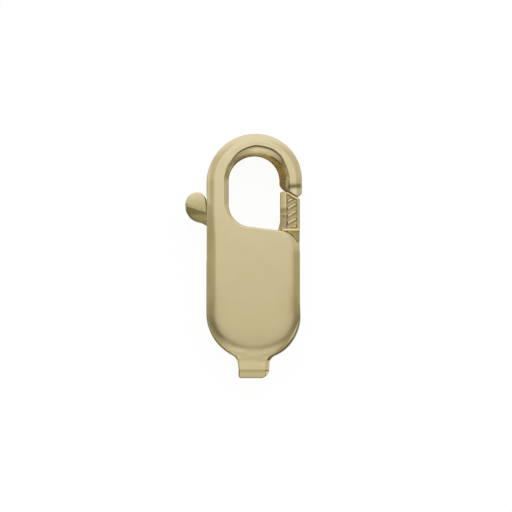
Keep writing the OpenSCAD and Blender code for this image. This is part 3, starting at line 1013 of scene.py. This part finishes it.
def gold_material(name, roughness, lines):
    """Yellow gold: satin tone changes, fine polishing lines, painted shade from a vertex attribute, and
    bright worn edges.
    """
    made, tree, place = new_material(name, 1.0)
    wide = noise(tree, place, 0.45, 2.0, seed=3.1)
    cloud = noise(tree, place, 1.4, 4.0, 0.55, seed=7.7)
    grain = noise(tree, place, 7.0, 3.0, 0.6, (1, 0.09, 1), seed=1.9)
    cross = noise(tree, place, 9.0, 2.0, 0.6, (0.12, 1, 1), seed=5.3)
    scratch = ranged(tree, noise(tree, place, 16.0, 1.0, 0.4, (1, 0.05, 0.4), seed=9.4), 0.70, 0.78)
    pits = ranged(tree, noise(tree, place, 11.0, 3.0, 0.7, seed=4.2), 0.68, 0.8)
    # Painted shade, stored per vertex: it darkens the gold towards that colour and roughens it
    painted_shade = node(tree, "Attribute", attribute_name="painted_shade").outputs["Fac"]
    worn = ranged(tree, node(tree, "NewGeometry").outputs["Pointiness"], 0.505, 0.56)
    tone = summed(tree, 0.0, [(wide, 0.6), (cloud, 0.4)])
    colour = mixed(tree, ranged(tree, tone, 0.35, 0.65), GOLD_PALE, GOLD_WARM)
    colour = mixed(tree, calc(tree, "MULTIPLY", painted_shade, 0.85, clamp=True), colour, GOLD_SHADE_DARK)
    rough = summed(tree, roughness - 0.05, [
        (cloud, 0.07), (grain, 0.04), (scratch, 0.03), (painted_shade, 0.15), (worn, -0.06)], clamp=True)
    height = summed(tree, 0.0, [
        (cloud, 2.2), (wide, 4.0), (grain, 0.22 * lines), (cross, 0.10 * lines),
        (scratch, -0.1 * lines), (pits, -0.3)])
    dress(tree, colour, rough, height, 1e-6)
    return made


def spring_material():
    """Bare spring steel, drawn lengthwise."""
    made, tree, place = new_material("spring_steel_leaf", 1.0)
    cloud = noise(tree, place, 2.0, 3.0, seed=2.2)
    drawn = noise(tree, place, 18.0, 2.0, 0.6, (0.2, 0.2, 1), seed=6.1)
    colour = mixed(tree, ranged(tree, cloud, 0.35, 0.65), (0.58, 0.57, 0.55, 1), (0.47, 0.46, 0.45, 1))
    dress(tree, colour, summed(tree, 0.24, [(drawn, 0.14)]), drawn, 4e-7)
    return made


def floor_material():
    """A pale lit table with a very faint unevenness."""
    made, tree, place = new_material("pale_table", 0.0)
    cloud = noise(tree, place, 0.02, 3.0)
    colour = mixed(tree, cloud, (0.96, 0.96, 0.96, 1), (0.98, 0.98, 0.98, 1))
    inputs = tree.nodes["Principled BSDF"].inputs
    inputs["Base Color"].default_value = (0.12, 0.12, 0.12, 1)
    inputs["Roughness"].default_value = 0.8
    inputs["Specular IOR Level"].default_value = 0.2
    inputs["Emission Strength"].default_value = 0.97
    tree.links.new(colour, inputs["Emission Color"])
    return made


# The light: radiance of the surroundings by direction. Each row adds an amount, eased in along an
# axis of the direction: axis, where it starts, where it is full, amount

SKY_BASE = 0.435
SKY_LEAST = 0.16
SKY_ROWS = [
    ("y", 1, -0.06, 0.15, 0.36), ("y", -1, 0.06, 0.18, 0.27), ("y", -1, 0.30, 0.40, -0.14),
    ("y", -1, 0.42, 0.58, -0.36), ("y", -1, 0.84, 0.90, 0.21), ("y", -1, 0.95, 0.99, 0.15),
    ("card", 1, 0.78, 0.90, 0.45),
]
# These fade out towards the hook
SIDE_ROWS = [("x", 1, 0.12, 0.45, -0.25), ("x", -1, 0.12, 0.45, -0.24), ("x", -1, 0.84, 0.92, 0.16)]
SIDES_FADE = (0.5, 0.9)
GROUND_COLOUR = (0.21, 0.16, 0.10, 1)
GROUND_STARTS = -0.10
# How much lower the sky reaches towards the tail, the hook, the knob's side and the gate's side
SKY_REACH = [("y", -1, -0.62), ("y", 1, -0.75), ("x", -1, -0.5), ("x", 1, -0.68)]
REACH_FADE = (0.3, 0.8)
HORIZON_SOFT = 0.06
# The sky's green and blue beside its red: how each share grows above a level, and the share there
TINT_LEVEL = 0.34
TINTS = [(0.11, 0.965), (0.9, 0.82)]


def make_world():
    """Soft studio surroundings: brightest above the hook, dim to both sides and below."""
    world = bpy.data.worlds.new("studio")
    bpy.context.scene.world = world
    world.use_nodes = True
    tree = world.node_tree
    way = node(tree, "TexCoord").outputs["Generated"]
    axes = node(tree, "SeparateXYZ", {0: way}).outputs
    card = calc(tree, "MULTIPLY", calc(tree, "SUBTRACT", axes[0], axes[1]), sqrt(0.5))
    ways = {"x": axes[0], "y": axes[1], "card": card}
    fade = ranged(tree, axes[1], *SIDES_FADE, 1.0, 0.0)
    level = SKY_BASE
    for axis, sign, low, high, amount in SKY_ROWS + SIDE_ROWS:
        along = calc(tree, "MULTIPLY", ways[axis], float(sign))
        part = ranged(tree, along, low, high, 0.0, amount)
        if axis == "x":
            part = calc(tree, "MULTIPLY", part, fade)
        level = calc(tree, "ADD", level, part)
    level = calc(tree, "MAXIMUM", level, SKY_LEAST)
    above = calc(tree, "SUBTRACT", level, TINT_LEVEL)
    shares = [calc(tree, "MULTIPLY_ADD", above, *tint) for tint in TINTS]
    green, blue = (calc(tree, "MULTIPLY", level, share) for share in shares)
    sky = node(tree, "CombineColor", {0: level, 1: green, 2: blue}).outputs[0]
    height = calc(tree, "SUBTRACT", axes[2], GROUND_STARTS)
    for axis, sign, amount in SKY_REACH:
        along = calc(tree, "MULTIPLY", ways[axis], float(sign))
        height = calc(tree, "SUBTRACT", height, ranged(tree, along, *REACH_FADE, 0.0, amount))
    colour = mixed(tree, ranged(tree, height, -HORIZON_SOFT, HORIZON_SOFT), GROUND_COLOUR, sky)
    tree.links.new(colour, tree.nodes["Background"].inputs["Color"])


def make_floor():
    """The table that the clasp lies on."""
    half = 400.0
    corners = [(-half, -half, 0), (half, -half, 0), (half, half, 0), (-half, half, 0)]
    floor = mesh_object("table", corners, [(0, 1, 2, 3)])
    floor.data.materials.append(floor_material())
    floor.visible_glossy = False


# The camera looks down on the clasp, from a little towards the tail and the knob's side

FRAME_MM = 27.28
LOOK_AT = Vector((0.149, 3.037, 2.0)) * MM
DISTANCE = 150 * MM
FROM_TAIL = radians(3.0)
FROM_LEFT = radians(2.75)


def make_camera():
    """The camera, with the top of the picture towards the hook."""
    data = bpy.data.cameras.new("camera")
    camera = bpy.data.objects.new("camera", data)
    bpy.context.scene.collection.objects.link(camera)
    back = Vector((-sin(FROM_LEFT), -sin(FROM_TAIL), 1))
    back.z = sqrt(1 - back.x ** 2 - back.y ** 2)
    right = Vector((0, 1, 0)).cross(back).normalized()
    up = back.cross(right)
    turn = Matrix((right, up, back)).transposed().to_4x4()
    camera.matrix_world = Matrix.Translation(LOOK_AT + back * DISTANCE) @ turn
    data.sensor_width = 36
    data.lens = data.sensor_width * DISTANCE / (FRAME_MM * MM)
    data.clip_start, data.clip_end = 0.001, 10
    bpy.context.scene.camera = camera


# Painted shade on the gold, which its material reads to darken and roughen it. But for the seam it lies
# on
# the front only: above these heights on the shell and on the gate, and above the middle on the knob

FRONT_FROM = MID + 0.3
GATE_FRONT_FROM = MID + 0.5

# Painted shade on the hook's ledge, by the angle round the hook: strength of the painted dark line at
# its step, and the painted shade on the ledge itself
LEDGE_TONE = [
    (-90, 0.0, 0.42), (0, 0.0, 0.42), (8, 0.3, 0.42), (20, 0.6, 0.42), (30, 0.7, 0.4),
    (40, 0.8, 0.4), (50, 0.7, 0.36), (60, 0.8, 0.12), (75, 0.85, 0.0), (90, 1.0, 0.0),
    (105, 0.8, 0.3), (120, 0.8, 0.48), (135, 0.6, 0.55), (150, 0.2, 0.35), (165, 0.0, 0.1),
    (180, 0.0, 0.0),
]
# Half width of that line, which doubles round an angle, the fade of the tone beside the step, and how
# far across the bar both reach
LINE_HALF = 0.035
LINE_WIDEST = (40, 25)
LEDGE_FADE = (0.02, -0.04)
HOOK_ZONE = (-0.1, 1)
# Painted shade in the groove round the tail's face, by the angle from the left side down and round to
# the right side: radius of its middle, half its width, and amount
GROOVE_ROWS = [
    (0, 2.29, 0.24, 0.3), (15, 2.28, 0.24, 0.62), (30, 2.18, 0.19, 0.66), (45, 2.05, 0.17, 0.48),
    (60, 1.97, 0.14, 0.5), (75, 1.9, 0.13, 0.36), (90, 1.88, 0.13, 0.25), (105, 1.92, 0.12, 0.38),
    (120, 1.98, 0.14, 0.42), (135, 2.09, 0.15, 0.38), (150, 2.24, 0.16, 0.4), (165, 2.34, 0.18, 0.58),
    (180, 2.34, 0.2, 0.4),
]
GROOVE_FADES = [("y", 1.0, 0.0), ("y", -2.4, -2.2)]
# The soft shade inside the groove: amount, half width, turn at the groove's middle, and where it ends
# up the body
SKIRT = 0.13
SKIRT_HALF = 0.6
SKIRT_TURN = 0.1
SKIRT_FADES = [("y", 2.2, 0.2)]
# Painted shade, a dark line in the dip across the hook's end: amount, half widths above and below, and
# fades
TIP_LINE = 0.8
TIP_LINE_HALVES = (0.145, 0.11)
TIP_LINE_FADES = [("x", 1.78, 1.95), ("x", 2.75, 2.35)]
# Patches of painted shade have an amount, bumps (axis, middle, half width) and fades (axis, start,
# where full). On the shell: outside the groove on the left, beside the knob, in the dip's pit, and below
# the dip
SHELL_PATCHES = [
    (0.13, [], [("x", -2.15, -2.4), ("y", 5.9, 5.5), ("y", -0.2, 0.4)]),
    (0.45, [("y", 5.93, 0.22)], [("x", -2.38, -2.44)]),
    (0.6, [("x", 2.14, 0.05), ("y", DIP_Y + 0.01, 0.045)], []),
    (0.25, [], [("x", 1.5, 1.501), ("x", 2.15, 1.95), ("y", DIP_Y, DIP_Y - 0.1), ("y", 6.2, 6.4)]),
]
# Painted shade on the gate: down its inner edge, less of it at the nick, and down its outer edge
GATE_INNER_FADES = [("x", 1.86, 1.76), ("y", 5.7, 5.55)]
GATE_PATCHES = [
    (0.5, [], GATE_INNER_FADES), (-0.35, [("y", 5.28, 0.05)], GATE_INNER_FADES),
    (0.42, [], [("x", 2.36, 2.43)]),
]
# Both lie on the gate only, past this X and above the ridge
GATE_ZONE = (1.0, RIDGE_Y + 0.06)
# The painted shade in the seam: half its height, and where it ends towards the loop
SEAM_HALF = 0.05
SEAM_FADE = (-2.75, -2.5)
# The painted dark line of shade above the knob's facet, with its reach from the knob's centre, and the
# painted shade in the sunk panel, with the depth that it starts at
KNOB_LINE = 0.42
KNOB_LINE_AT = -0.035
KNOB_LINE_HALF = 0.055
KNOB_ZONE = 1.0
PANEL_TONE = 0.42
PANEL_TONE_FROM = 0.04
# The creases: how near to the ledge's step and to the loop's bend their points lie, how far from the
# middle they start, and the angle round the hook where the step's ends
STEP_NEAR = 0.003
BEND_NEAR = 0.002
STEP_CREASE_FROM = 0.5
BEND_CREASE_FROM = 0.8
STEP_CREASE_STOP = 150


def patched(rows, x, y):
    """The sum of patches of painted shade."""
    return sum(amount * product(bump, bumps, x, y) * product(smooth, fades, x, y)
               for amount, bumps, fades in rows)


def round_hook(x, y):
    """Distance inside the hook's bar from its opening, and the angle round the hook."""
    right, up = x - HOOK_C[0] - hook_lean(y), y - HOOK_C[1]
    angle = np.degrees(np.arctan2(up, right))
    inside = np.where(up < 0, right, np.hypot(right, up)) - INNER_R
    return inside, np.where((up < 0) & (right > 0), np.minimum(angle, 0), angle)


def ledge_width(angle):
    """Width of the ledge at an angle round the hook."""
    return table_at(LEDGE_ROWS["hook_in"], np.clip(angle / 180, 0, 1))[0]


def ledge_tone(x, y):
    """Painted shade on the hook's ledge, and the painted dark line at its step."""
    inside, angle = round_hook(x, y)
    width = ledge_width(angle)
    line, tone = table_at(LEDGE_TONE, angle)
    half = LINE_HALF * (1 + bump(angle, *LINE_WIDEST))
    line = line * bump(inside, width - half, half)
    tone = tone * smooth(inside - width, *LEDGE_FADE)
    on_hook = (y > TIP[1] - END_DROP) & (inside > HOOK_ZONE[0]) & (inside < HOOK_ZONE[1])
    return np.maximum(line, tone) * on_hook


def groove_tone(x, y):
    """Painted shade in the groove round the face at the tail, and the soft painted shade inside it."""
    down = -np.minimum(y, 0)
    middle, half, amount = table_at(GROOVE_ROWS, np.degrees(np.arctan2(down, -x)))
    reach = np.hypot(x, down)
    groove = amount * bump(reach, middle, half) * product(smooth, GROOVE_FADES, x, y)
    inside = smooth(reach - middle, SKIRT_TURN, -SKIRT_TURN) * product(smooth, SKIRT_FADES, x, y)
    return groove + SKIRT * bump(reach, middle, SKIRT_HALF) * inside


def tip_tone(x, y):
    """Painted shade: the dark line in the dip across the hook's end."""
    half = np.where(y > DIP_Y, *TIP_LINE_HALVES)
    return TIP_LINE * bump(y, DIP_Y, half) * product(smooth, TIP_LINE_FADES, x, y)


def shell_tone(x, y, z):
    """All the painted shade on the shell: in the seam round its sides, and on its front."""
    seam = bump(z, MID, SEAM_HALF) * smooth(y, *SEAM_FADE)
    front = ledge_tone(x, y) + groove_tone(x, y) + tip_tone(x, y) + patched(SHELL_PATCHES, x, y)
    return seam + front * (z > FRONT_FROM)


def trigger_tone(x, y, z):
    """Painted shade in the gate's panel, down both edges of its front, and above the knob's facet."""
    panel = PANEL_TONE * smooth(panel_relief(x, y), PANEL_TONE_FROM, PANEL_DEEP)
    edges = patched(GATE_PATCHES, x, y) * ((x > GATE_ZONE[0]) & (y > GATE_ZONE[1]))
    out = x - KNOB_C[0], y - KNOB_C[1]
    line = KNOB_LINE * bump(past_facet(*out), KNOB_LINE_AT, KNOB_LINE_HALF)
    on_knob = (np.hypot(*out) < KNOB_ZONE) & (z > MID)
    return (panel + edges) * (z > GATE_FRONT_FROM) + line * on_knob


def shell_crease(x, y, z):
    """Marks the crease where the hook's ledge starts, and the one where the loop's strip bends."""
    inside, angle = round_hook(x, y)
    from_middle = np.abs(z - MID)
    on_step = (np.abs(inside - ledge_width(angle)) < STEP_NEAR) & (y > HOOK_C[1])
    on_step &= (angle < STEP_CREASE_STOP) & (from_middle > STEP_CREASE_FROM)
    on_bend = (np.abs(y - BEND_Y) < BEND_NEAR) & (np.abs(x) < LOOP_W)
    return on_step | (on_bend & (from_middle > BEND_CREASE_FROM))


make_world()
make_floor()
make_camera()

gold_satin = gold_material("gold_satin_shell", 0.22, 1.0)
gold_polished = gold_material("gold_polished_trigger", 0.19, 0.6)

shell = make_shell()
shade(shell, 32, shell_crease)
# Painted shade on the shell, stored per vertex for the gold
paint(shell, "painted_shade", shell_tone(*points_of(shell)))
shell.data.materials.append(gold_satin)
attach(shell, "body")
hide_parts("shell")

trigger = make_trigger()
shade(trigger, 32)
# Painted shade on the trigger, stored per vertex for the gold
paint(trigger, "painted_shade", trigger_tone(*points_of(trigger)))
trigger.data.materials.append(gold_polished)
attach(trigger, "gate")
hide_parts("trigger")

for name, material in (("pivot_pin", gold_polished), ("return_spring", spring_material())):
    slots = frame["nodes"][name].data.materials
    slots.clear()
    slots.append(material)

bpy.context.scene.view_settings.view_transform = "Standard"
bpy.context.view_layer.update()
